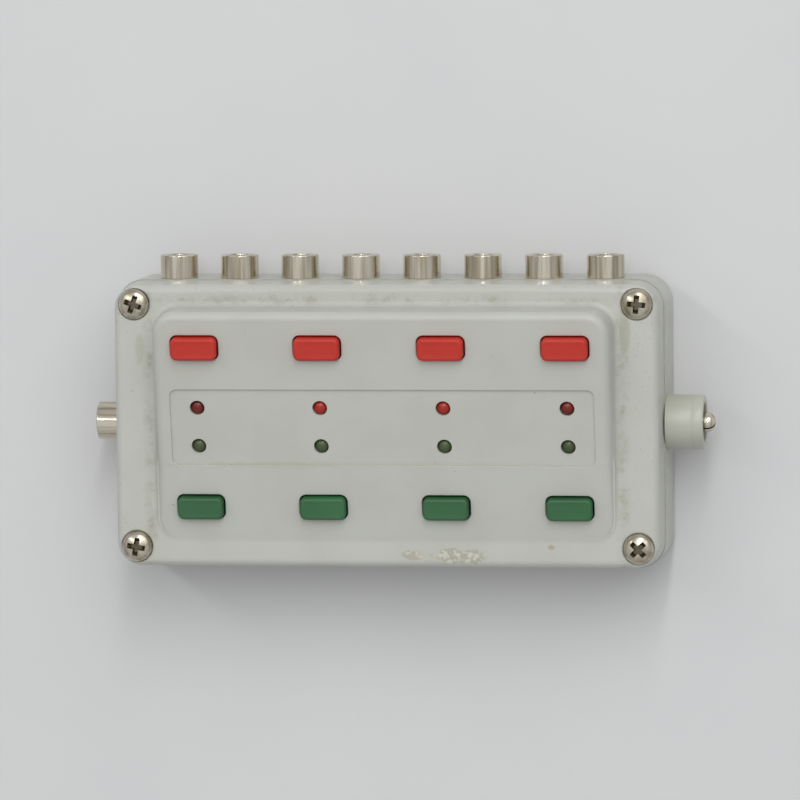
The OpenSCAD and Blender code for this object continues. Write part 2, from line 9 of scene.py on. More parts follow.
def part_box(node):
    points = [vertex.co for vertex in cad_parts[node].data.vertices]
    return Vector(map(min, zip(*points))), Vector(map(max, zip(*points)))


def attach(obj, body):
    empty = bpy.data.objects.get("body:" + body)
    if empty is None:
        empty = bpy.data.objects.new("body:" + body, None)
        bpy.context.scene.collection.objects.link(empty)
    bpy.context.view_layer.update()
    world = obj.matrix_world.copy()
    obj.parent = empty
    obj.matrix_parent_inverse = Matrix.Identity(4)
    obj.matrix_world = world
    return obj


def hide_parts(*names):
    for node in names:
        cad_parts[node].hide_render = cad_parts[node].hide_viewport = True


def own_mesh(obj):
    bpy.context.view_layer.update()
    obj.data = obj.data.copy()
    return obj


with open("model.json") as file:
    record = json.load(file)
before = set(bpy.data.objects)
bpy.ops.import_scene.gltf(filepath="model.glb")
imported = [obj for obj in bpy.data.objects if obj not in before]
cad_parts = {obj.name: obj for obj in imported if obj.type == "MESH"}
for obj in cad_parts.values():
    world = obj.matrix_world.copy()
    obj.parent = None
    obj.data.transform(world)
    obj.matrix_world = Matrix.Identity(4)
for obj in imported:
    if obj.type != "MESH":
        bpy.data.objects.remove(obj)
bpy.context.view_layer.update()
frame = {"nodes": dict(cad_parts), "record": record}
mm = 0.001
slotOf = {entry["node"]: entry["material_slot"] for entry in frame["record"]["subparts"]}


def boxOf(node):
    low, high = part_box(node)
    return Vector(low) / mm, Vector(high) / mm


def middleOf(node):
    low, high = boxOf(node)
    return (low + high) / 2


# Sizes are in mm. The outside comes from the frame, the rest is the box's own drawing.
trayLow, trayHigh = boxOf("base_tray")
housing = {
    "width": trayHigh.x - trayLow.x,
    "depth": trayHigh.y - trayLow.y,
    "seam": 10.0,
    "ledge": 14.4,
    "slope": math.radians(10.4),
    "frontLedge": 3.5,
    "backLedge": 3.2,
    "sideLedge": 5.85,
    "wall": 1.6,
    "corner": 3.5,
}
keypadFront = -housing["depth"] / 2 + housing["frontLedge"]
keypadBack = housing["depth"] / 2 - housing["backLedge"]
keypadMiddle = (keypadFront + keypadBack) / 2
keypadWidth = housing["width"] - 2 * housing["sideLedge"]
keypadDepth = keypadBack - keypadFront
faceMiddle = housing["ledge"] - keypadFront * math.tan(housing["slope"])
faceTurn = Matrix.Translation((0, 0, faceMiddle * mm)) @ Matrix.Rotation(housing["slope"], 4, "X")
print("frame loaded")


def faceHeight(y):
    return faceMiddle + y * math.tan(housing["slope"])


def onFace(x, up, out=0.0):
    # a turned place on the keypad: x across, up the slope, out of the face
    return faceTurn @ Matrix.Translation((x * mm, up * mm, out * mm))


# modelling helpers

def deselectAll():
    if bpy.context.object and bpy.context.object.mode != "OBJECT":
        bpy.ops.object.mode_set(mode="OBJECT")
    bpy.ops.object.select_all(action="DESELECT")


def makeActive(piece):
    deselectAll()
    piece.select_set(True)
    bpy.context.view_layer.objects.active = piece


def pick(piece, kind, test):
    # selects the verts, edges or faces that pass the test, and nothing else
    bpy.ops.mesh.select_mode(type={"verts": "VERT", "edges": "EDGE", "faces": "FACE"}[kind])
    bpy.ops.mesh.select_all(action="DESELECT")
    mesh = bmesh.from_edit_mesh(piece.data)
    mesh.verts.index_update()
    for part in getattr(mesh, kind):
        part.select_set(bool(test(part)))
    mesh.select_flush_mode()
    bmesh.update_edit_mesh(piece.data)


def closeUp(piece):
    bpy.ops.mesh.select_all(action="SELECT")
    bpy.ops.mesh.remove_doubles(threshold=0.000001)
    bpy.ops.mesh.normals_make_consistent(inside=False)
    bpy.ops.object.mode_set(mode="OBJECT")


def capLoop(piece, points):
    # fills the loop that runs through these points
    pick(piece, "edges", lambda edge: all(v.index in points for v in edge.verts))
    bpy.ops.mesh.edge_face_add()


def pickedPoints(piece):
    return {v.index for v in bmesh.from_edit_mesh(piece.data).verts if v.select}


def moulded(name, rows, steps=8):
    # a rounded rectangle pulled through rows of (width, depth, corner, middle y, z), closed at both ends
    width, depth, corner, y, z = rows[0]
    deselectAll()
    bpy.ops.mesh.primitive_plane_add(size=mm, location=(0, y * mm, z * mm))
    piece = bpy.context.object
    piece.name = name
    bpy.ops.object.transform_apply(location=True)
    bpy.ops.object.mode_set(mode="EDIT")
    bpy.ops.transform.resize(value=(width, depth, 1), center_override=(0, y * mm, z * mm))
    bpy.ops.mesh.bevel(offset=corner * mm, segments=steps, affect="VERTICES")
    bpy.ops.mesh.delete(type="ONLY_FACE")
    bpy.ops.object.mode_set(mode="OBJECT")
    bpy.ops.object.mode_set(mode="EDIT")
    bpy.ops.mesh.select_mode(type="EDGE")
    bpy.ops.mesh.select_all(action="SELECT")
    points = firstLoop = pickedPoints(piece)
    for row in rows[1:]:
        pick(piece, "edges", lambda edge: all(v.index in points for v in edge.verts))
        bpy.ops.mesh.extrude_edges_move()
        points = pickedPoints(piece)
        nextWidth, nextDepth, nextCorner, nextY, nextZ = row
        for sideX in (-1, 1):
            for sideY in (-1, 1):       # each corner keeps its own centre, so its radius is its own too
                pick(piece, "verts", lambda v: v.index in points and v.co.x * sideX > 0
                     and (v.co.y - y * mm) * sideY > 0)
                centre = Vector((sideX * (width / 2 - corner), y + sideY * (depth / 2 - corner), z)) * mm
                place = Vector((sideX * (nextWidth / 2 - nextCorner),
                                nextY + sideY * (nextDepth / 2 - nextCorner), nextZ)) * mm
                grow = nextCorner / corner
                bpy.ops.transform.resize(value=(grow, grow, 1), center_override=centre)
                bpy.ops.transform.translate(value=place - centre)
        width, depth, corner, y, z = row
    capLoop(piece, points)
    capLoop(piece, firstLoop)
    closeUp(piece)
    return piece


def turned(name, profile, place=Matrix.Identity(4), steps=48, tube=False):
    # a circle pulled up through a profile of (radius, z); a tube ends where it started, a bar is capped
    deselectAll()
    radius, z = profile[0]
    bpy.ops.mesh.primitive_circle_add(vertices=steps, radius=radius * mm, location=(0, 0, z * mm))
    piece = bpy.context.object
    piece.name = name
    bpy.ops.object.transform_apply(location=True)
    bpy.ops.object.mode_set(mode="EDIT")
    bpy.ops.mesh.select_mode(type="EDGE")
    bpy.ops.mesh.select_all(action="SELECT")
    for (radius, z), (nextRadius, nextZ) in zip(profile, profile[1:]):
        bpy.ops.mesh.extrude_edges_move()
        grow = nextRadius / radius
        if abs(grow - 1) > 1e-9:
            bpy.ops.transform.resize(value=(grow, grow, 1), center_override=(0, 0, z * mm))
        if nextZ != z:
            bpy.ops.transform.translate(value=(0, 0, (nextZ - z) * mm))
    if not tube:
        bpy.ops.mesh.edge_face_add()
        capLoop(piece, set(range(steps)))
    closeUp(piece)
    piece.data.transform(place)
    return piece


def boxAt(name, size, middle, place=Matrix.Identity(4)):
    deselectAll()
    bpy.ops.mesh.primitive_cube_add(size=mm, location=[c * mm for c in middle])
    piece = bpy.context.object
    piece.name = name
    piece.scale = size
    bpy.ops.object.transform_apply(location=True, rotation=True, scale=True)
    piece.data.transform(place)
    return piece


def combine(piece, others, operation="DIFFERENCE"):
    # joins the other shapes into one, then cuts them from the piece or adds them to it
    other = joined(others)
    makeActive(piece)
    step = piece.modifiers.new("combine", "BOOLEAN")
    step.operation = operation
    step.solver = "EXACT"
    step.object = other
    bpy.ops.object.modifier_apply(modifier=step.name)
    bpy.data.objects.remove(other, do_unlink=True)


def joined(pieces):
    deselectAll()
    for piece in pieces:
        piece.select_set(True)
    bpy.context.view_layer.objects.active = pieces[0]
    if len(pieces) > 1:
        bpy.ops.object.join()
    return bpy.context.view_layer.objects.active


def copyOf(piece, name, place):
    copy = piece.copy()
    copy.data = piece.data.copy()
    copy.name = copy.data.name = name
    bpy.context.collection.objects.link(copy)
    copy.data.transform(place)
    return copy


def roundTop(across, high, steps):
    # (inset, height) along a rounded edge, from the wall up to the flat
    angles = [math.pi / 2 * (i + 1) / steps for i in range(steps)]
    return [(across * (1 - math.cos(a)), high * math.sin(a)) for a in angles]


def flare(rim):
    # (growth, height) of a cutter's mouth that leaves a rounded rim on a hole, and its start above the face
    angles = [math.pi / 2 * i / 4 for i in range(5)]
    return [(rim * (1 - math.cos(a)), rim * (math.sin(a) - 1)) for a in angles] + [(rim, 0.6)]


def finishPiece(piece, body, material, *nodes, angle=40):
    piece.data.materials.clear()
    piece.data.materials.append(material)
    piece.data.name = piece.name
    makeActive(piece)
    bpy.ops.object.shade_smooth_by_angle(angle=math.radians(angle))
    step = piece.modifiers.new("flat faces stay flat", "WEIGHTED_NORMAL")
    step.keep_sharp = True
    step.weight = 100
    bpy.ops.object.modifier_apply(modifier=step.name)
    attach(piece, body)
    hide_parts(*nodes)
    deselectAll()


# materials

def linear(hexColour):
    # an sRGB hex colour as the linear values that the shader takes
    values = [int(hexColour[i:i + 2], 16) / 255 for i in (1, 3, 5)]
    return [v / 12.92 if v <= 0.04045 else ((v + 0.055) / 1.055) ** 2.4 for v in values] + [1]


def addNode(tree, kind, inputs, output=0, **settings):
    # adds a node, sets or links its inputs, and returns the named output
    node = tree.nodes.new("ShaderNode" + kind)
    for name, value in settings.items():
        setattr(node, name, value)
    for name, value in inputs.items():
        if isinstance(value, bpy.types.NodeSocket):
            tree.links.new(value, node.inputs[name])
        else:
            node.inputs[name].default_value = value
    return node.outputs[output]


def startMaterial(name):
    material = bpy.data.materials.new(name)
    material.use_nodes = True
    tree = material.node_tree
    return material, tree, tree.nodes["Principled BSDF"], addNode(tree, "TexCoord", {}, "Object")


def across(size):
    # texture scale for a pattern whose features are this many mm across
    return 1 / (size * mm)


def mottledSurface(name, look):
    # two tones in soft clouds, a roughness that wanders between two values, and a fine raised grain
    material, tree, shader, place = startMaterial(name)
    cloudPlace = addNode(tree, "Mapping", {"Vector": place, "Scale": look.get("cloudStretch", (1, 1, 1))})
    clouds = addNode(tree, "TexNoise", {"Vector": cloudPlace, "Scale": across(look["cloudSize"]),
                                        "Detail": 4})
    amount = addNode(tree, "MapRange", {"Value": clouds, "From Min": 0.35, "From Max": 0.7},
                     interpolation_type="SMOOTHSTEP")
    colour = addNode(tree, "Mix", {0: amount, 6: linear(look["colour"]), 7: linear(look["cloud"])}, 2,
                     data_type="RGBA")
    tree.links.new(colour, shader.inputs["Base Color"])
    handled = addNode(tree, "TexNoise", {"Vector": place, "Scale": across(look["cloudSize"] / 2),
                                         "Detail": 3})
    low, high = look["roughness"]
    tree.links.new(addNode(tree, "MapRange", {"Value": handled, "From Min": 0.3, "From Max": 0.7,
                                              "To Min": low, "To Max": high}), shader.inputs["Roughness"])
    grainPlace = addNode(tree, "Mapping", {"Vector": place, "Scale": look.get("grainStretch", (1, 1, 1))})
    grain = addNode(tree, "TexNoise", {"Vector": grainPlace, "Scale": across(look["grainSize"]), "Detail": 2})
    tree.links.new(addNode(tree, "Bump", {"Height": grain, "Strength": look["grainStrength"],
                                          "Distance": 0.02 * mm}), shader.inputs["Normal"])
    if look.get("metal"):
        shader.inputs["Metallic"].default_value = 1
    else:
        shader.inputs["IOR"].default_value = look.get("ior", 1.5)
    return material


def axesOf(tree):
    # the piece's own place, then its x, y and z, at each point of the surface
    place = addNode(tree, "TexCoord", {}, "Object")
    return [place] + [addNode(tree, "SeparateXYZ", {"Vector": place}, axis) for axis in range(3)]


def layOver(material, amount, hexColour, strength):
    # mixes a colour over what the material has so far
    tree = material.node_tree
    base = tree.nodes["Principled BSDF"].inputs["Base Color"]
    share = addNode(tree, "Math", {0: amount, 1: strength}, operation="MULTIPLY")
    under = base.links[0].from_socket
    mixed = addNode(tree, "Mix", {0: share, 6: under, 7: linear(hexColour)}, 2, data_type="RGBA")
    tree.links.new(mixed, base)


dirtAndShade = {
    "raggedSize": 1.7,              # mm across the lumps that break up every patch of dirt and painted shade
    "speckEdge": (0.05, 0.09),      # where a speck fades out, as a share of its cell
    "speckStrength": 0.6,
    "dustEdge": (0.12, 0.22),
    "dustBreak": (0.45, 0.6),
    "dustStrength": 0.45,
    "seamBand": (0.12, 0.22),       # mm either side of the groove
    "seamStrength": 0.75,
    "sideReach": 1.1,               # mm out from the keypad's foot
    "backReach": 1.0,
    "footHeights": (0.2, 1.4),      # mm above the ledge
    "grimeAndShadeBreak": (0.47, 0.66),
    "grimeAndShadeLeast": 0.12,
    "patchRough": 4.0,
    "patchEdge": (0.6, 1.2),
    "crumbSize": 0.7,
    "crumbEdge": (0.5, 0.6),
    "crumbStrength": 0.8,
}


def dirtiedAndShaded(material, marks):
    # lays specks, dust, grime and painted shade along the keypad's foot, painted shade in the seam's groove,
    # and dried residue over a moulded housing's own colour
    tree = material.node_tree
    place, x, y, z = axesOf(tree)
    sideways = addNode(tree, "Math", {0: x}, operation="ABSOLUTE")
    ragged = addNode(tree, "TexNoise", {"Vector": place, "Scale": across(dirtAndShade["raggedSize"]), "Detail": 8,
                                        "Roughness": 0.65})

    falling = {"To Min": 1, "To Max": 0}
    times = {"operation": "MULTIPLY"}

    def span(value, ends, unit=1.0):
        # the inputs that turn the way from one end to the other into 0 to 1
        return {"Value": value, "From Min": ends[0] * unit, "From Max": ends[1] * unit}

    def away(value, middle):
        # how far a value is from the middle, either way
        off = addNode(tree, "Math", {0: value, 1: middle}, operation="SUBTRACT")
        return addNode(tree, "Math", {0: off}, operation="ABSOLUTE")

    # specks 0.1 to 0.3 mm across, in only some of the cells
    cells = {"Vector": place, "Scale": across(marks["speckSpacing"])}
    dots = addNode(tree, "MapRange", span(addNode(tree, "TexVoronoi", cells), dirtAndShade["speckEdge"]) | falling)
    cellTone = addNode(tree, "SeparateColor", {"Color": addNode(tree, "TexVoronoi", cells, "Color")})
    chosen = addNode(tree, "Math", {0: cellTone, 1: marks["speckShare"]}, operation="LESS_THAN")
    specks = addNode(tree, "Math", {0: dots, 1: chosen}, **times)
    layOver(material, specks, marks["speckAndSeamShadeColour"], dirtAndShade["speckStrength"])

    if "dustColour" in marks:
        # finer dust lies where a cloth doesn't reach: on the ledge behind and beside the keypad
        cells = {"Vector": place, "Scale": across(marks["dustSpacing"])}
        dots = addNode(tree, "MapRange", span(addNode(tree, "TexVoronoi", cells), dirtAndShade["dustEdge"]) | falling)
        behind = addNode(tree, "MapRange", span(y, (keypadBack - 0.4, keypadBack + 0.6), mm))
        beside = addNode(tree, "MapRange", span(sideways, (keypadWidth / 2 - 0.2, keypadWidth / 2 + 1), mm))
        onLedge = addNode(tree, "MapRange", span(z, (housing["ledge"] - 0.5, housing["ledge"] - 0.3), mm))
        where = addNode(tree, "Math", {0: behind, 1: beside}, operation="MAXIMUM")
        for share in (onLedge, addNode(tree, "MapRange", span(ragged, dirtAndShade["dustBreak"])), dots):
            where = addNode(tree, "Math", {0: where, 1: share}, **times)
        layOver(material, where, marks["dustColour"], dirtAndShade["dustStrength"])

    if "seam" in marks:
        # painted shade in the groove between tray and cover, in the specks' colour, broken up by the ragged
        # noise
        fromSeam = away(z, marks["seam"] * mm)
        shadeAmount = addNode(tree, "MapRange", span(fromSeam, dirtAndShade["seamBand"], mm) | falling)
        shadeAmount = addNode(tree, "Math", {0: shadeAmount, 1: ragged}, **times)
        layOver(material, shadeAmount, marks["speckAndSeamShadeColour"], dirtAndShade["seamStrength"])

    if "footX" in marks:
        # grime and painted shade in the corner round the raised keypad, darkest low against its foot
        fromSide, fromBack = away(sideways, marks["footX"] * mm), away(y, marks["footY"] * mm)
        nearSide = addNode(tree, "MapRange", span(fromSide, (0, dirtAndShade["sideReach"]), mm) | falling)
        nearBack = addNode(tree, "MapRange", span(fromBack, (0, dirtAndShade["backReach"]), mm) | falling)
        grimeAndShade = addNode(tree, "Math", {0: nearSide, 1: nearBack}, operation="MAXIMUM")
        heights = [housing["ledge"] + up for up in dirtAndShade["footHeights"]]
        low = addNode(tree, "MapRange", span(z, heights, mm) | falling)
        broken = addNode(tree, "MapRange", span(ragged, dirtAndShade["grimeAndShadeBreak"]) | {"To Min": dirtAndShade["grimeAndShadeLeast"]})
        for share in (low, broken):
            grimeAndShade = addNode(tree, "Math", {0: grimeAndShade, 1: share}, **times)
        layOver(material, grimeAndShade, marks["shadeColour"], marks["shadeStrength"])

    for spot in marks.get("residue", []):
        # a ragged ellipse, kept off the walls
        squares = []
        for axis, middle, size in zip((x, y), spot["middle"], spot["size"]):
            off = addNode(tree, "Math", {0: axis, 1: middle * mm}, operation="SUBTRACT")
            off = addNode(tree, "Math", {0: off, 1: size * mm}, operation="DIVIDE")
            squares.append(addNode(tree, "Math", {0: off, 1: 2.0}, operation="POWER"))
        outwards = addNode(tree, "Math", {0: squares[0], 1: squares[1]}, operation="ADD")
        rough = addNode(tree, "Math", {0: ragged, 1: 0.5}, operation="SUBTRACT")
        rough = addNode(tree, "Math", {0: rough, 1: dirtAndShade["patchRough"]}, **times)
        outwards = addNode(tree, "Math", {0: outwards, 1: rough}, operation="ADD")
        patch = addNode(tree, "MapRange", span(outwards, dirtAndShade["patchEdge"]) | falling,
                        interpolation_type="SMOOTHSTEP")
        above = addNode(tree, "Math", {0: z, 1: (housing["ledge"] - 0.4) * mm}, operation="GREATER_THAN")
        patch = addNode(tree, "Math", {0: patch, 1: above}, **times)
        layOver(material, patch, spot["colour"], spot["strength"])
        if "fleck" in spot:
            crumbs = addNode(tree, "TexNoise", {"Vector": place, "Scale": across(dirtAndShade["crumbSize"]),
                                                "Detail": 3, "Distortion": 1.0})
            crumbs = addNode(tree, "MapRange", span(crumbs, dirtAndShade["crumbEdge"]))
            crumbs = addNode(tree, "Math", {0: patch, 1: crumbs}, **times)
            layOver(material, crumbs, spot["fleck"], dirtAndShade["crumbStrength"])
    return material


# injection-moulded ABS: pale warm grey with a soft sheen, a fine spark grain and a slightly dirty skin, with
# painted shade in its seam and round the keypad's foot
greyAbs = {"colour": "#bcbeb7", "cloud": "#b9bab2", "cloudSize": 7, "roughness": (0.32, 0.44),
           "grainSize": 0.3, "grainStrength": 0.6, "ior": 1.53}
coverMarks = {
    # the specks' colour also paints shade along the seam's groove
    "seam": housing["seam"], "speckSpacing": 1.3, "speckShare": 0.1, "speckAndSeamShadeColour": "#5f5641",
    "dustSpacing": 0.55, "dustColour": "#857c62",
    # colour and strength of the grime and painted shade round the keypad's foot
    "footX": keypadWidth / 2 + 0.9, "footY": keypadBack + 0.9, "shadeColour": "#7b7458",
    "shadeStrength": 0.42,
    "residue": [
        {"middle": (3.2, -16.4), "size": (1.4, 0.6), "colour": "#9b977f", "strength": 0.5,
         "fleck": "#cbcabc"},
        {"middle": (9.2, -16.5), "size": (3.5, 1.0), "colour": "#98937a", "strength": 0.5,
         "fleck": "#cfcec2"},
        {"middle": (0, -4.75), "size": (27, 0.4), "colour": "#a29c82", "strength": 0.1},
        {"middle": (-16, -4.8), "size": (11, 0.3), "colour": "#a5a08c", "strength": 0.14},
        {"middle": (21.0, -15.3), "size": (0.5, 0.35), "colour": "#a3906e", "strength": 0.6},
        {"middle": (30.6, 12.3), "size": (0.7, 3.5), "colour": "#9a9378", "strength": 0.35},
        {"middle": (-31.4, 9.5), "size": (0.6, 2.0), "colour": "#9a9378", "strength": 0.25},
        {"middle": (3, 17.0), "size": (20, 0.7), "colour": "#a8a492", "strength": 0.12},
    ],
}
# the specks' colour also paints shade along the seam's groove on the tray
trayMarks = {"seam": housing["seam"], "speckSpacing": 2.2, "speckShare": 0.05, "speckAndSeamShadeColour": "#6a614b"}
sleeveMarks = {"speckSpacing": 1.9, "speckShare": 0.2, "speckAndSeamShadeColour": "#5d5240"}
coverPlastic = dirtiedAndShaded(mottledSurface("ABS pale grey moulded, cover", greyAbs), coverMarks)
trayPlastic = dirtiedAndShaded(mottledSurface("ABS pale grey moulded, tray", greyAbs), trayMarks)
# another batch of ABS, a little yellower than the housing
sleevePlastic = dirtiedAndShaded(mottledSurface("ABS warm grey moulded, sleeve", greyAbs | {
    "colour": "#b6b7ac", "cloud": "#afafa2"}), sleeveMarks)

looks = {
    # ABS moulded in a strong colour: a satin cap whose rim stays deeper than its top, which has a painted
    # sheen
    "red_key_plastic": {"name": "ABS red moulded", "colour": "#bd200f", "cloud": "#c42817", "cloudSize": 2,
                        "roughness": (0.42, 0.55), "grainSize": 0.25, "grainStrength": 0.3, "ior": 1.53},
    "green_key_plastic": {"name": "ABS green moulded", "colour": "#134d23", "cloud": "#1f6133",
                          "cloudSize": 9, "roughness": (0.42, 0.55), "grainSize": 0.25,
                          "grainStrength": 0.3, "ior": 1.53},
    # nickel on turned brass: a warm grey mirror, dulled in patches, its colour streaked along its axis as
    # painted reflections, over a fine raised grain stretched the same way
    "socket_nickel": {"name": "nickel plated turned brass", "colour": "#e6dfcf", "cloud": "#b3a893",
                      "cloudSize": 0.6, "cloudStretch": (1, 0.04, 1), "roughness": (0.12, 0.18),
                      "grainSize": 0.22, "grainStrength": 0.2, "grainStretch": (1, 0.1, 1), "metal": True},
    # nickel on pressed steel: duller than the sockets, uneven where drivers have slipped
    "screw_nickel": {"name": "nickel plated pressed steel", "colour": "#d3ccbc", "cloud": "#a89d88",
                     "cloudSize": 1.2, "roughness": (0.2, 0.36), "grainSize": 0.4, "grainStrength": 0.3,
                     "metal": True},
    # cast epoxy, unlit: dark colour with a soft gloss
    "red_lamp_resin": {"name": "epoxy red cast", "colour": "#5a120d", "cloud": "#a81e14", "cloudSize": 8,
                       "roughness": (0.26, 0.4), "grainSize": 0.3, "grainStrength": 0.1, "ior": 1.55},
    "green_lamp_resin": {"name": "epoxy green cast", "colour": "#34452a", "cloud": "#4b5833", "cloudSize": 8,
                         "roughness": (0.26, 0.4), "grainSize": 0.3, "grainStrength": 0.1, "ior": 1.55},
    # acetal left its natural colour: milky and slippery
    "plunger_plastic": {"name": "acetal white moulded", "colour": "#dcdcd2", "cloud": "#e6e6dd",
                        "cloudSize": 3, "roughness": (0.34, 0.46), "grainSize": 0.4,
                        "grainStrength": 0.2, "ior": 1.48},
    # drawn spring wire: bright, with fine lines along its length
    "spring_steel": {"name": "spring steel drawn", "colour": "#a8a6a0", "cloud": "#8f8d88", "cloudSize": 2,
                     "roughness": (0.26, 0.4), "grainSize": 0.3, "grainStrength": 0.2,
                     "grainStretch": (1, 1, 5), "metal": True},
    # nylon: black and nearly matt
    "switch_case_plastic": {"name": "nylon black moulded", "colour": "#17171a", "cloud": "#222226",
                            "cloudSize": 2, "roughness": (0.45, 0.6), "grainSize": 0.4, "grainStrength": 0.3},
    # stamped brass: yellow, softly shiny
    "terminal_brass": {"name": "brass stamped", "colour": "#c4a661", "cloud": "#a98b4c", "cloudSize": 1.5,
                       "roughness": (0.26, 0.42), "grainSize": 0.3, "grainStrength": 0.2,
                       "grainStretch": (1, 5, 1), "metal": True},
    # paper laminate: brown sheet with a faint fibre
    "board_laminate": {"name": "paper laminate pressed", "colour": "#8a6a38", "cloud": "#77592c",
                       "cloudSize": 1.2, "roughness": (0.35, 0.5), "grainSize": 0.5, "grainStrength": 0.4,
                       "grainStretch": (1, 6, 1)},
    # tinned copper: pale, slightly frosted
    "tinned_lead": {"name": "tinned copper drawn", "colour": "#b9b9b2", "cloud": "#9f9f98", "cloudSize": 1.2,
                    "roughness": (0.3, 0.45), "grainSize": 0.3, "grainStrength": 0.2,
                    "grainStretch": (1, 1, 5), "metal": True},
    # enamelled copper: warm, with a gloss coat
    "copper_wire": {"name": "copper enamelled wire", "colour": "#b4714a", "cloud": "#96583a", "cloudSize": 2,
                    "roughness": (0.25, 0.4), "grainSize": 0.3, "grainStrength": 0.15,
                    "grainStretch": (1, 1, 5), "metal": True},
    # filled epoxy: black, dry and slightly pitted
    "chip_epoxy": {"name": "epoxy black moulded", "colour": "#131314", "cloud": "#1d1d1f", "cloudSize": 1.5,
                   "roughness": (0.5, 0.65), "grainSize": 0.3, "grainStrength": 0.4},
    # dipped lacquer: smooth, rounded and shiny
    "resistor_lacquer": {"name": "lacquer tan dipped", "colour": "#c09a62", "cloud": "#caa873",
                         "cloudSize": 1, "roughness": (0.22, 0.34), "grainSize": 0.5, "grainStrength": 0.2},
    "capacitor_lacquer": {"name": "lacquer red brown dipped", "colour": "#7d2418", "cloud": "#8b2d1f",
                          "cloudSize": 1.5, "roughness": (0.22, 0.34), "grainSize": 0.5,
                          "grainStrength": 0.2},
}
materialOf = {slot: mottledSurface(look["name"], look) for slot, look in looks.items()}
# the same painted streak reflections, run along the axis of the side socket and pin
sideNickel = mottledSurface("nickel plated turned brass, sides", looks["socket_nickel"] | {
    "cloudStretch": (0.04, 1, 1), "grainStretch": (0.1, 1, 1)})
materialOf["housing_plastic"] = coverPlastic
materialOf["sleeve_plastic"] = sleevePlastic
print("materials made:", len(materialOf))


# base tray

tray = {
    "bottomBevel": 0.35,
    "floor": 1.6,
    "seamGroove": 0.14,     # bevel that makes a thin dark line where tray meets cover
    "rimHeight": 1.0,
    "rimOuter": 0.9,        # the rim's outside, in from the wall's outside
    "bossDiameter": 4.2,
    "bossDrill": 1.7,
    "drillDepth": 5.5,
    "wallHole": 3.7,
    "sleeveHole": 4.5,
    "holeRim": 0.1,
}
screwX, screwY = 32.1, 15.45
screwPlaces = [(x, y) for y in (-screwY, screwY) for x in (-screwX, screwX)]
socketHeight = 7.5


def housingRow(inset, z, corner=None):
    corner = max(housing["corner"] - inset, 0.8) if corner is None else corner
    return housing["width"] - 2 * inset, housing["depth"] - 2 * inset, corner, 0, z


socketXs = [middleOf(f"line_socket_{i + 1}").x for i in range(8)]
halfWidth, halfDepth = housing["width"] / 2, housing["depth"] / 2


def wallPlace(x, y, turn, axis):
    # the place of a socket's axis: its turned z points out of the wall
    spot = Matrix.Translation((x * mm, y * mm, socketHeight * mm))
    return spot @ Matrix.Rotation(math.radians(turn), 4, axis)


outBack = [wallPlace(x, halfDepth, -90, "X") for x in socketXs]
outLeft = wallPlace(-halfWidth, 0, -90, "Y")
outRight = wallPlace(halfWidth, 0, 90, "Y")

wall, seam, groove = housing["wall"], housing["seam"], tray["seamGroove"]
rows = [housingRow(tray["bottomBevel"], 0)]
rows += [housingRow(tray["bottomBevel"] - inset, z) for inset, z in
         [(tray["bottomBevel"] * math.sin(a), tray["bottomBevel"] * (1 - math.cos(a)))
          for a in (math.radians(d) for d in (30, 60, 90))]]
rows += [housingRow(0, seam - groove), housingRow(groove, seam), housingRow(tray["rimOuter"], seam),
         housingRow(tray["rimOuter"], seam + tray["rimHeight"]), housingRow(wall, seam + tray["rimHeight"]),
         housingRow(wall, tray["floor"])]
baseTray = moulded("base_tray_shell", rows, steps=12)
bossRadius = tray["bossDiameter"] / 2
bosses = [turned("boss", [(bossRadius, tray["floor"] - 0.2), (bossRadius, seam - 0.1)],
                 Matrix.Translation((x * mm, y * mm, 0)), 32) for x, y in screwPlaces]
combine(baseTray, bosses, "UNION")


def holeCutter(diameter, place, rim, deep):
    # a drill with a flared mouth, from inside the wall to just outside it
    profile = [(diameter / 2, -deep)] + [(diameter / 2 + grow, z) for grow, z in flare(rim)]
    return turned("drill", profile, place, 40)


cutters = [holeCutter(tray["wallHole"], place, tray["holeRim"], wall + 0.3) for place in outBack + [outLeft]]
cutters.append(holeCutter(tray["sleeveHole"], outRight, tray["holeRim"], wall + 0.3))
cutters += [holeCutter(tray["bossDrill"], Matrix.Translation((x * mm, y * mm, (seam - 0.1) * mm)), 0.1,
                       tray["drillDepth"]) for x, y in screwPlaces]
combine(baseTray, cutters)
finishPiece(baseTray, "housing", trayPlastic, "base_tray")
print("tray modelled")


# top cover with its sloped keypad

cover = {
    "step": 0.13,           # the cover stands this far inside the tray's wall
    "draft": 0.25,
    "edgeRound": 0.95,
    "footFillet": 0.75,
    "lean": 0.25,
    "topRound": 1.15,
    "sideCuts": 14,         # points along the long sides, so that the slope runs out smoothly
    "keypadCorner": 3.1,
    "thickness": 1.6,
    "keypadWall": 1.2,
    "rebate": 0.8,
    "rebateHeight": 1.1,
    "label": (54, 9.9, 0.9),
    "labelDepth": 0.25,
    "labelRound": 0.08,
    "window": (6.16, 3.21, 0.88),
    "windowRim": 0.14,
    "lampHole": 1.9,
    "lampRim": 0.03,
    "counterbore": 4.0,
    "counterRim": 0.3,
    "seat": 14.0,
    "shankHole": 2.6,
    "postDiameter": 3.8,
    "postX": 15.7,
    "splitRows": (-6.5, 6.5),       # between the keys and the label, up the slope
}
keyColumns = [-23.55, -7.85, 7.85, 23.55]
keyRow = 10.421
lampRow = 2.5
peak = keypadDepth * math.tan(housing["slope"])      # height of the keypad's back edge over the ledge
ledge = housing["ledge"]


def keypadRow(inset, z):
    return (keypadWidth - 2 * inset, keypadDepth - 2 * inset, max(cover["keypadCorner"] - inset, 0.5),
            keypadMiddle, z)


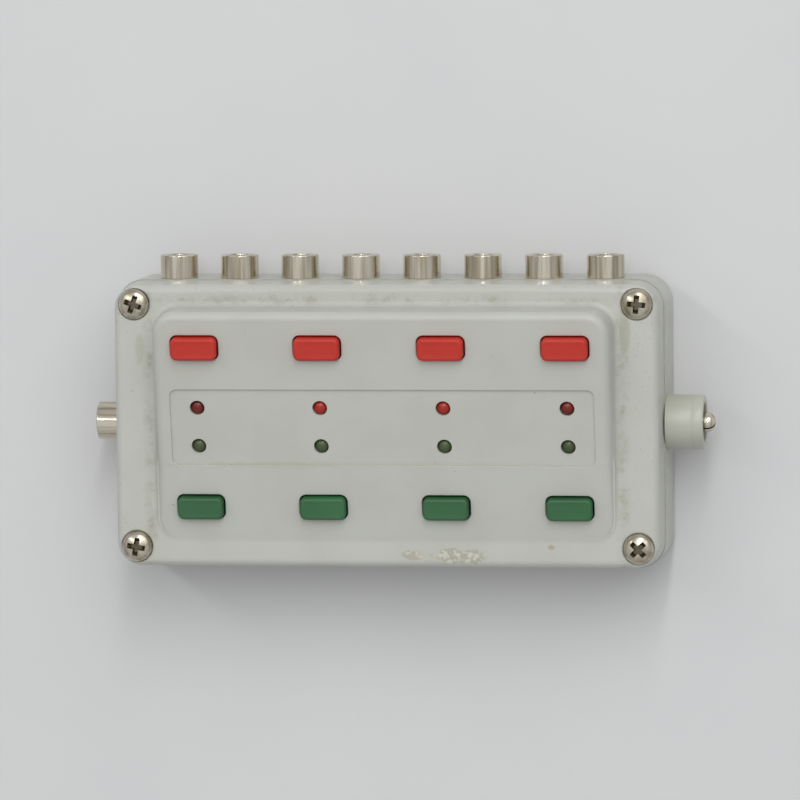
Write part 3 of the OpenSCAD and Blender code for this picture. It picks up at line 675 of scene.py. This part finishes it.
def slopeKeypad(piece, foot, top):
    # sinks each point above the ledge to the sloped face; the foot fillet and top rounding keep their size
    for vertex in piece.data.vertices:
        up = vertex.co.z / mm - ledge
        if up > 1e-4:
            height = faceHeight(vertex.co.y / mm) - ledge
            room = min(1, max(height, 0) / (foot + top))
            fromTop = peak - up
            sunk = up * room if up <= foot + 1e-4 else height - fromTop * room
            vertex.co.z = (ledge + sunk) * mm


step, draft, edgeRound, fillet = cover["step"], cover["draft"], cover["edgeRound"], cover["footFillet"]
shoulder = ledge - edgeRound
rows = [housingRow(step + groove, seam), housingRow(step, seam + groove)]
rows += [housingRow(step + draft * 0.5, (seam + shoulder) / 2), housingRow(step + draft, shoulder)]
rows += [housingRow(step + draft + inset, shoulder + up) for inset, up in roundTop(edgeRound, edgeRound, 4)]
rows += [keypadRow(-fillet, ledge)]
rows += [keypadRow(-fillet + fillet * math.sin(a), ledge + fillet * (1 - math.cos(a)))
         for a in (math.radians(d) for d in (18, 36, 54, 72, 90))]
wallTop = ledge + peak - cover["topRound"]
rows += [keypadRow(cover["lean"], wallTop)]
rows += [keypadRow(cover["lean"] + inset, wallTop + up) for inset, up in
         roundTop(cover["topRound"], cover["topRound"], 5)]
topCover = moulded("top_cover_shell", rows, steps=12)
makeActive(topCover)
bpy.ops.object.mode_set(mode="EDIT")
pick(topCover, "edges", lambda edge: abs(edge.verts[0].co.y - edge.verts[1].co.y) > 0.4 * keypadDepth * mm)
bpy.ops.mesh.subdivide(number_cuts=cover["sideCuts"])
bpy.ops.object.mode_set(mode="OBJECT")
slopeKeypad(topCover, fillet, cover["topRound"])

inner = cover["keypadWall"]
ceiling = ledge - cover["thickness"]
hollow = moulded("hollow", [
    housingRow(cover["rebate"], seam - 1), housingRow(cover["rebate"], seam + cover["rebateHeight"]),
    housingRow(wall, seam + cover["rebateHeight"]), housingRow(wall, ceiling),
    keypadRow(inner, ceiling), keypadRow(inner, ledge + peak)], steps=6)
for vertex in hollow.data.vertices:
    if vertex.co.z > (ceiling + 0.1) * mm:
        vertex.co.z = (faceHeight(vertex.co.y / mm) - cover["thickness"] / math.cos(housing["slope"])) * mm
combine(topCover, [hollow])

bosses = [turned("boss", [(bossRadius, seam + 0.05), (bossRadius, ceiling + 0.3)],
                 Matrix.Translation((x * mm, y * mm, 0)), 32) for x, y in screwPlaces]
bosses += [turned("post", [(cover["postDiameter"] / 2, -7.4), (cover["postDiameter"] / 2, -1.3)],
                  onFace(x, up), 32) for x in (-cover["postX"], cover["postX"]) for up in (-keyRow, keyRow)]
combine(topCover, bosses, "UNION")


def splitFaces(piece, planes):
    # cuts the faces along planes (point, normal), so that no flat face holds more than one hole
    makeActive(piece)
    bpy.ops.object.mode_set(mode="EDIT")
    for point, normal in planes:
        bpy.ops.mesh.select_all(action="SELECT")
        bpy.ops.mesh.bisect(plane_co=point, plane_no=normal)
    bpy.ops.object.mode_set(mode="OBJECT")


def pocketCutter(size, rim, deep, place):
    # a rounded rectangular cutter with a flared mouth
    width, depth, corner = size
    pocket = [(width, depth, corner, 0, -deep)]
    pocket += [(width + 2 * grow, depth + 2 * grow, corner + grow, 0, z) for grow, z in flare(rim)]
    cutter = moulded("pocket", pocket)
    cutter.data.transform(place)
    return cutter


cutters = [pocketCutter(cover["label"], cover["labelRound"], cover["labelDepth"], onFace(0, 0))]
cutters += [pocketCutter(cover["window"], cover["windowRim"], cover["thickness"] + 1, onFace(x, up))
            for x in keyColumns for up in (-keyRow, keyRow)]
cutters += [holeCutter(cover["counterbore"], Matrix.Translation((x * mm, y * mm, ledge * mm)),
                       cover["counterRim"], ledge - cover["seat"]) for x, y in screwPlaces]
upSlope = faceTurn.to_3x3() @ Vector((0, 1, 0))
between = [(Vector((x * mm, 0, 0)), Vector((1, 0, 0))) for x in (-cover["postX"], 0, cover["postX"])]
splitFaces(topCover, between + [(onFace(0, up).translation, upSlope) for up in cover["splitRows"]])
combine(topCover, cutters)
splitFaces(topCover, between + [(onFace(0, 0).translation, upSlope)])
cutters = [holeCutter(cover["lampHole"], onFace(x, up, -cover["labelDepth"]), cover["lampRim"], 3)
           for x in keyColumns for up in (-lampRow, lampRow)]
holeRadius = cover["shankHole"] / 2
cutters += [turned("drill", [(holeRadius, seam - 1), (holeRadius, cover["seat"] + 0.2)],
                   Matrix.Translation((x * mm, y * mm, 0)), 32) for x, y in screwPlaces]
combine(topCover, cutters)
finishPiece(topCover, "housing", coverPlastic, "top_cover")
print("cover modelled")


# keys: modelled once at the face frame's middle, then copied to each place

key = {
    "cap": (5.8, 2.85, 0.7),
    "out": 1.09,
    "edgeRound": 0.35,
    "dish": 0.05,
    "flange": (7.1, 4.15, 0.9),
    "flangeTop": -1.65,
    "flangeBottom": -2.45,
    "socket": (1.46, 1.06),
    "socketDepth": 1.2,
    "sheenDepth": (0.16, 0.06),      # the painted sheen starts and is full this far below the top
    "sheenStrength": 0.55,
    "sheenColour": {"red": "#ba2c1a", "green": "#3b6d47"},
}


def sheenTop(material, paler):
    # a paler colour painted on the flat top as sheen where the light falls on it: read by how far a point
    # stands out of the sloped face
    tree = material.node_tree
    place, x, y, z = axesOf(tree)
    rise = addNode(tree, "Math", {0: z, 1: faceMiddle * mm}, operation="SUBTRACT")
    rise = addNode(tree, "Math", {0: rise, 1: math.cos(housing["slope"])}, operation="MULTIPLY")
    along = addNode(tree, "Math", {0: y, 1: math.sin(housing["slope"])}, operation="MULTIPLY")
    standing = addNode(tree, "Math", {0: rise, 1: along}, operation="SUBTRACT")
    first, full = [(key["out"] - depth) * mm for depth in key["sheenDepth"]]
    flat = addNode(tree, "MapRange", {"Value": standing, "From Min": first, "From Max": full})
    layOver(material, flat, paler, key["sheenStrength"])


capWidth, capDepth, capCorner = key["cap"]
flangeWidth, flangeDepth, flangeCorner = key["flange"]
capShoulder = key["out"] - key["edgeRound"]
rows = [(flangeWidth, flangeDepth, flangeCorner, 0, key["flangeBottom"]),
        (flangeWidth, flangeDepth, flangeCorner, 0, key["flangeTop"] - 0.1),
        (flangeWidth - 0.2, flangeDepth - 0.2, flangeCorner - 0.1, 0, key["flangeTop"]),
        (capWidth, capDepth, capCorner, 0, key["flangeTop"]),
        (capWidth, capDepth, capCorner, 0, capShoulder)]
rows += [(capWidth - 2 * inset, capDepth - 2 * inset, max(capCorner - inset, 0.3), 0, capShoulder + up)
         for inset, up in roundTop(key["edgeRound"], key["edgeRound"], 5)]
rows += [(capWidth - 1.1, capDepth - 1.1, 0.3, 0, key["out"] - key["dish"] * 0.6),
         (capWidth - 1.7, capDepth - 1.7, 0.25, 0, key["out"] - key["dish"])]
keyModel = moulded("key", rows, steps=8)
socketWidth, socketDeep = key["socket"]
combine(keyModel, [boxAt("socket", (socketWidth, socketDeep, key["socketDepth"] + 1),
                         (0, 0, key["flangeBottom"] + (key["socketDepth"] - 1) / 2))])
for colour, row in (("red", keyRow), ("green", -keyRow)):
    sheenTop(materialOf[f"{colour}_key_plastic"], key["sheenColour"][colour])
    for number, column in enumerate(keyColumns, 1):
        button = copyOf(keyModel, f"{colour}_key_cap_{number}", onFace(column, row))
        finishPiece(button, f"{colour}_key_{number}", materialOf[f"{colour}_key_plastic"],
                    f"{colour}_button_{number}")
bpy.data.objects.remove(keyModel, do_unlink=True)
print("keys modelled")


# cover screws: domed cross heads

screw = {
    "head": 3.9,
    "seat": 14.0,
    "edge": 0.45,           # straight edge under the dome
    "height": 1.3,
    "shank": 2.2,
    "length": 8.0,
    "threadTurns": 9,
    "threadPitch": 0.7,
    "threadDepth": 0.2,
    "cross": 2.3,
    "crossWidth": 0.66,
    "crossDepth": 0.7,
    "turns": [-10, 45, -20, -5],
    "shadeRadius": (1.3, 1.45),     # the recess's painted shade stops here
    "shadeDepth": (0.42, 0.22),     # and this far below the dome
    # colour and strength of the painted shade in the recess
    "shadeColour": "#544d3c",
    "shadeStrength": 0.85,
}


def shadedCross(material, top):
    # painted shade in the cross recess: below the dome, close to each screw's axis
    tree = material.node_tree
    place, x, y, z = axesOf(tree)
    squares = []
    for axis, middle in ((x, screwX), (y, screwY)):
        along = addNode(tree, "Math", {0: axis}, operation="ABSOLUTE")
        off = addNode(tree, "Math", {0: along, 1: middle * mm}, operation="SUBTRACT")
        squares.append(addNode(tree, "Math", {0: off, 1: off}, operation="MULTIPLY"))
    radius = addNode(tree, "Math", {0: squares[0], 1: squares[1]}, operation="ADD")
    radius = addNode(tree, "Math", {0: radius}, operation="SQRT")
    whole, gone = [edge * mm for edge in screw["shadeRadius"]]
    near = addNode(tree, "MapRange", {"Value": radius, "From Min": whole, "From Max": gone, "To Min": 1,
                                      "To Max": 0})
    whole, gone = [(top - depth) * mm for depth in screw["shadeDepth"]]
    deep = addNode(tree, "MapRange", {"Value": z, "From Min": whole, "From Max": gone, "To Min": 1,
                                      "To Max": 0})
    shadeAmount = addNode(tree, "Math", {0: near, 1: deep}, operation="MULTIPLY")
    layOver(material, shadeAmount, screw["shadeColour"], screw["shadeStrength"])


headRadius, shankRadius, seat = screw["head"] / 2, screw["shank"] / 2, screw["seat"]
domeHigh = screw["height"] - screw["edge"]
profile = [(0.35, seat - screw["length"]), (shankRadius, seat - screw["length"] + 1.2)]
for turn in range(screw["threadTurns"]):
    z = seat - screw["length"] + 1.5 + turn * screw["threadPitch"]
    profile += [(shankRadius, z), (shankRadius - screw["threadDepth"], z + 0.3)]
profile += [(shankRadius, seat), (headRadius - 0.08, seat), (headRadius, seat + 0.08),
            (headRadius, seat + screw["edge"] - 0.15)]
profile += [(headRadius * math.cos(a) ** 0.75, seat + screw["edge"] - 0.15 + (domeHigh + 0.15) * math.sin(a))
            for a in (math.radians(d) for d in (12, 24, 36, 48, 60, 72, 82))]
screwModel = turned("screw", profile, steps=48)
top = seat + screw["height"]
shadedCross(materialOf["screw_nickel"], top)
arms = []
for turn in (0, 90):
    arm = moulded("arm", [
        (screw["cross"] * 0.6, screw["crossWidth"] * 0.7, 0.05, 0, top - screw["crossDepth"]),
        (screw["cross"], screw["crossWidth"], 0.08, 0, top - 0.2),
        (screw["cross"] * 1.15, screw["crossWidth"] * 1.1, 0.08, 0, top + 0.3)], steps=2)
    arm.data.transform(Matrix.Rotation(math.radians(turn), 4, "Z"))
    arms.append(arm)
for arm in arms:
    combine(screwModel, [arm])
screws = [copyOf(screwModel, "screw", Matrix.Translation((x * mm, y * mm, 0))
                 @ Matrix.Rotation(math.radians(turn), 4, "Z"))
          for (x, y), turn in zip(screwPlaces, screw["turns"])]
bpy.data.objects.remove(screwModel, do_unlink=True)
coverScrews = joined(screws)
coverScrews.name = "cover_screw_heads"
finishPiece(coverScrews, "housing", materialOf["screw_nickel"], "cover_screws")
print("screws modelled")


# sockets: turned ferrules with a bore for the link pin of the next box

socket = {
    "outer": 4.8,
    "out": 3.0,
    "chamfer": 0.12,
    "bore": 2.6,
    "boreDepth": 8.3,
    "neck": 3.6,
    "inside": 4.5,
    "break": 0.06,
}
outerRadius, boreRadius, neckRadius = socket["outer"] / 2, socket["bore"] / 2, socket["neck"] / 2
small = socket["break"]
profile = [
    (neckRadius - 0.1, -wall - socket["inside"]), (neckRadius, -wall - socket["inside"] + 0.1),
    (neckRadius, 0), (outerRadius - small, 0), (outerRadius, small),
    (outerRadius, socket["out"] - socket["chamfer"] - small),
    (outerRadius - small / 2, socket["out"] - socket["chamfer"] + small / 2),
    (outerRadius - socket["chamfer"] + small / 2, socket["out"] - small / 2),
    (outerRadius - socket["chamfer"] - small, socket["out"]),
    (boreRadius + 0.12, socket["out"]), (boreRadius + 0.03, socket["out"] - 0.05),
    (boreRadius, socket["out"] - 0.14), (boreRadius, socket["out"] - socket["boreDepth"])]
socketModel = turned("socket", profile, steps=56)
for number, place in enumerate(outBack, 1):
    ferrule = copyOf(socketModel, f"line_socket_ferrule_{number}", place)
    finishPiece(ferrule, "housing", materialOf["socket_nickel"], f"line_socket_{number}")
linkFerrule = copyOf(socketModel, "link_socket_ferrule", outLeft)
finishPiece(linkFerrule, "housing", sideNickel, "link_socket")
bpy.data.objects.remove(socketModel, do_unlink=True)
print("sockets modelled")


# link pin and the sleeve moulded round it

sleeve = {
    "outer": 7.0,
    "out": 4.8,
    "bore": 5.0,
    "web": 0.6,
    "neck": 4.4,
    "inside": 2.5,
    "root": 3.0,
    "edge": 0.18,
    "draft": 0.05,
    "line": 3.3,            # faint parting line round it
}
pin = {
    "diameter": 2.5,
    "out": 6.1,
    "tip": 0.9,
    "slit": 0.25,
    "slitTurn": 35,         # the split is turned out of upright
    "slitDepth": 2.9,
}
radius, edge = sleeve["outer"] / 2, sleeve["edge"]
profile = [
    (sleeve["root"] / 2, -sleeve["inside"]), (sleeve["neck"] / 2, -sleeve["inside"]),
    (sleeve["neck"] / 2, 0), (radius - 0.05, 0), (radius, 0.05),
    (radius - sleeve["draft"] * 0.6, sleeve["line"] - 0.12),
    (radius - sleeve["draft"] * 0.6 - 0.05, sleeve["line"]),
    (radius - sleeve["draft"] * 0.7, sleeve["line"] + 0.12),
    (radius - sleeve["draft"], sleeve["out"] - edge),
    (radius - sleeve["draft"] - edge * 0.3, sleeve["out"] - edge * 0.3),
    (radius - sleeve["draft"] - edge, sleeve["out"]),
    (sleeve["bore"] / 2 + 0.1, sleeve["out"]), (sleeve["bore"] / 2, sleeve["out"] - 0.1),
    (sleeve["bore"] / 2, sleeve["web"]), (sleeve["root"] / 2, sleeve["web"]),
    (sleeve["root"] / 2, -sleeve["inside"])]
linkSleeve = turned("link_sleeve_tube", profile, outRight, steps=64, tube=True)
finishPiece(linkSleeve, "housing", sleevePlastic, "link_sleeve")

pinRadius = pin["diameter"] / 2
profile = [
    (sleeve["root"] / 2, -wall - socket["inside"]), (sleeve["root"] / 2, sleeve["web"] - 0.05),
    (sleeve["root"] / 2 - 0.05, sleeve["web"]), (pinRadius, sleeve["web"]),
    (pinRadius, pin["out"] - pin["tip"])]
profile += [(pinRadius * math.cos(a) ** 0.8, pin["out"] - pin["tip"] * (1 - math.sin(a)))
            for a in (math.radians(d) for d in (15, 30, 45, 60, 75))]
profile += [(pinRadius * 0.25, pin["out"])]
linkPin = turned("link_pin_split", profile, outRight, steps=56)
slitTurn = Matrix.Rotation(math.radians(pin["slitTurn"]), 4, "X")
slit = boxAt("slit", (pin["slitDepth"] + 1, pin["slit"], 4),
             (halfWidth + pin["out"] - (pin["slitDepth"] - 1) / 2, 0, 0),
             Matrix.Translation((0, 0, socketHeight * mm)) @ slitTurn)
combine(linkPin, [slit])
finishPiece(linkPin, "housing", sideNickel, "link_pin")
print("link pin and sleeve modelled")


# lamps: small flat-domed diodes set just below the keypad's face

lamp = {
    "diameter": 1.8,
    "tip": -0.3,
    "length": 3.1,
    "lip": 0.25,
    "lipHeight": 0.5,
    "dome": 0.7,
    "pairWithin": 12,       # the two middle lamps of a row lie this close to the centre line
    "pairStrength": 0.65,
    "pairColour": {"red": "#b32214", "green": "#41562f"},
}


def brighterPair(material, hexColour):
    # the two middle lamps are brighter than the outer ones
    tree = material.node_tree
    place, x, y, z = axesOf(tree)
    sideways = addNode(tree, "Math", {0: x}, operation="ABSOLUTE")
    middle = addNode(tree, "Math", {0: sideways, 1: lamp["pairWithin"] * mm}, operation="LESS_THAN")
    layOver(material, middle, hexColour, lamp["pairStrength"])


lampRadius, lampBase = lamp["diameter"] / 2, lamp["tip"] - lamp["length"]
profile = [(lampRadius + lamp["lip"], lampBase), (lampRadius + lamp["lip"], lampBase + lamp["lipHeight"]),
           (lampRadius, lampBase + lamp["lipHeight"]), (lampRadius, lamp["tip"] - lamp["dome"])]
profile += [(lampRadius * math.cos(a), lamp["tip"] - lamp["dome"] + lamp["dome"] * math.sin(a))
            for a in (math.radians(d) for d in (15, 30, 45, 60, 75, 86))]
lampModel = turned("lamp", profile, steps=32)
for colour, row in (("red", lampRow), ("green", -lampRow)):
    brighterPair(materialOf[f"{colour}_lamp_resin"], lamp["pairColour"][colour])
    lamps = joined([copyOf(lampModel, "lamp", onFace(x, row)) for x in keyColumns])
    lamps.name = f"{colour}_lamp_lenses"
    finishPiece(lamps, "housing", materialOf[f"{colour}_lamp_resin"], f"{colour}_lamps")
bpy.data.objects.remove(lampModel, do_unlink=True)
print("lamps modelled")


# return springs: wound wire

spring = {
    "wire": 0.18,
    "turns": 4,
    "steps": 20,            # points round each turn
    "travel": 0.8,
}
backToFace = faceTurn.inverted()
woundPoints = [vertex.co for vertex in frame["nodes"]["red_return_spring_1"].data.vertices]
ends = [(backToFace @ point).z / mm for point in woundPoints]
acrossX = [point.x / mm for point in woundPoints]
foot, head, wireRadius = min(ends), max(ends), spring["wire"] / 2
coilRadius = (max(acrossX) - min(acrossX)) / 2 - wireRadius
deselectAll()
bpy.ops.mesh.primitive_circle_add(vertices=8, radius=wireRadius * mm, rotation=(math.pi / 2, 0, 0),
                                  location=(coilRadius * mm, 0, (foot + wireRadius) * mm))
coil = bpy.context.object
bpy.ops.object.transform_apply(location=True, rotation=True)
wind = coil.modifiers.new("wind", "SCREW")
wind.angle = 2 * math.pi
wind.screw_offset = (head - foot - spring["wire"]) / spring["turns"] * mm
wind.iterations = spring["turns"]
wind.steps = wind.render_steps = spring["steps"]
bpy.ops.object.modifier_apply(modifier=wind.name)
bpy.ops.object.mode_set(mode="EDIT")
bpy.ops.mesh.select_all(action="SELECT")
bpy.ops.mesh.fill_holes(sides=0)
closeUp(coil)
for colour, row in (("red", keyRow), ("green", -keyRow)):
    for number, column in enumerate(keyColumns, 1):
        wound = copyOf(coil, f"{colour}_return_spring_coil_{number}", onFace(column, row))
        finishPiece(wound, "housing", materialOf["spring_steel"], f"{colour}_return_spring_{number}")
        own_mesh(wound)
bpy.data.objects.remove(coil, do_unlink=True)
print("springs wound")


# pieces inside keep their frame shapes and get their own materials

modelled = {"base_tray", "top_cover", "cover_screws", "link_socket", "link_sleeve", "link_pin", "red_lamps",
            "green_lamps"}
modelled |= {f"line_socket_{i}" for i in range(1, 9)}
modelled |= {f"{colour}_{part}_{i}" for colour in ("red", "green") for part in ("button", "return_spring")
             for i in range(1, 5)}
for name, node in frame["nodes"].items():
    if name not in modelled:
        node.data.materials.clear()
        node.data.materials.append(materialOf[slotOf[name]])
print("inner pieces given their materials")


# paper floor, lights and camera

floor = {"size": 2.4, "paper": "#d3d4d4", "fibre": "#d1d2d3"}
deselectAll()
bpy.ops.mesh.primitive_plane_add(size=floor["size"], location=(0, 0, 0))
paper = bpy.context.object
paper.name = "paper_floor"
# uncoated drawing paper: flat white with a barely visible cloudiness
paper.data.materials.append(mottledSurface("paper uncoated", {
    "colour": floor["paper"], "cloud": floor["fibre"], "cloudSize": 30, "roughness": (0.85, 0.95),
    "grainSize": 0.8, "grainStrength": 0.1}))

studio = {
    "horizon": 0.34,
    "zenith": 0.63,
    "boxes": {      # place, size and power of each soft light; all face the middle of the floor
        "key": ((0.38, 0.6, 0.68), (0.8, 0.8), 2.3),
        # narrow strips that draw bright lines along the plated parts
        "strip over": ((0.08, 0.5, 0.85), (0.07, 0.9), 2.5),
        "strip left": ((-0.55, 0.4, 0.85), (0.06, 0.9), 1.4),
    },
}
world = bpy.data.worlds.new("studio")
bpy.context.scene.world = world
world.use_nodes = True
sky = world.node_tree
height = addNode(sky, "SeparateXYZ", {"Vector": addNode(sky, "TexCoord", {}, "Generated")}, "Z")
glow = addNode(sky, "MapRange", {"Value": height, "To Min": studio["horizon"], "To Max": studio["zenith"]})
sky.links.new(glow, sky.nodes["Background"].inputs["Strength"])
sky.nodes["Background"].inputs["Color"].default_value = (1, 1, 1, 1)


def softBox(name, place, size, power):
    light = bpy.data.lights.new(name, "AREA")
    light.shape = "RECTANGLE"
    light.size, light.size_y = size
    light.energy = power
    stand = bpy.data.objects.new(name, light)
    bpy.context.scene.collection.objects.link(stand)
    stand.location = place
    stand.rotation_euler = (-Vector(place)).to_track_quat("-Z", "Y").to_euler()


for name, (place, size, power) in studio["boxes"].items():
    softBox(name, place, size, power)

camera = {
    "place": (127.2, 76.2, 826.1),
    "turn": (-0.0902, 0.1521, -0.0112),     # about x, then y, then z
    "lens": 294,
    "sensor": 36,
}
lens = bpy.data.cameras.new("camera")
lens.lens, lens.sensor_width = camera["lens"], camera["sensor"]
lens.clip_start, lens.clip_end = 0.05, 5
viewer = bpy.data.objects.new("camera", lens)
bpy.context.scene.collection.objects.link(viewer)
viewer.location = Vector(camera["place"]) * mm
viewer.rotation_euler = camera["turn"]
bpy.context.scene.camera = viewer
bpy.context.scene.view_settings.view_transform = "Standard"
bpy.context.scene.view_settings.look = "None"
print("stage, lights and camera set")
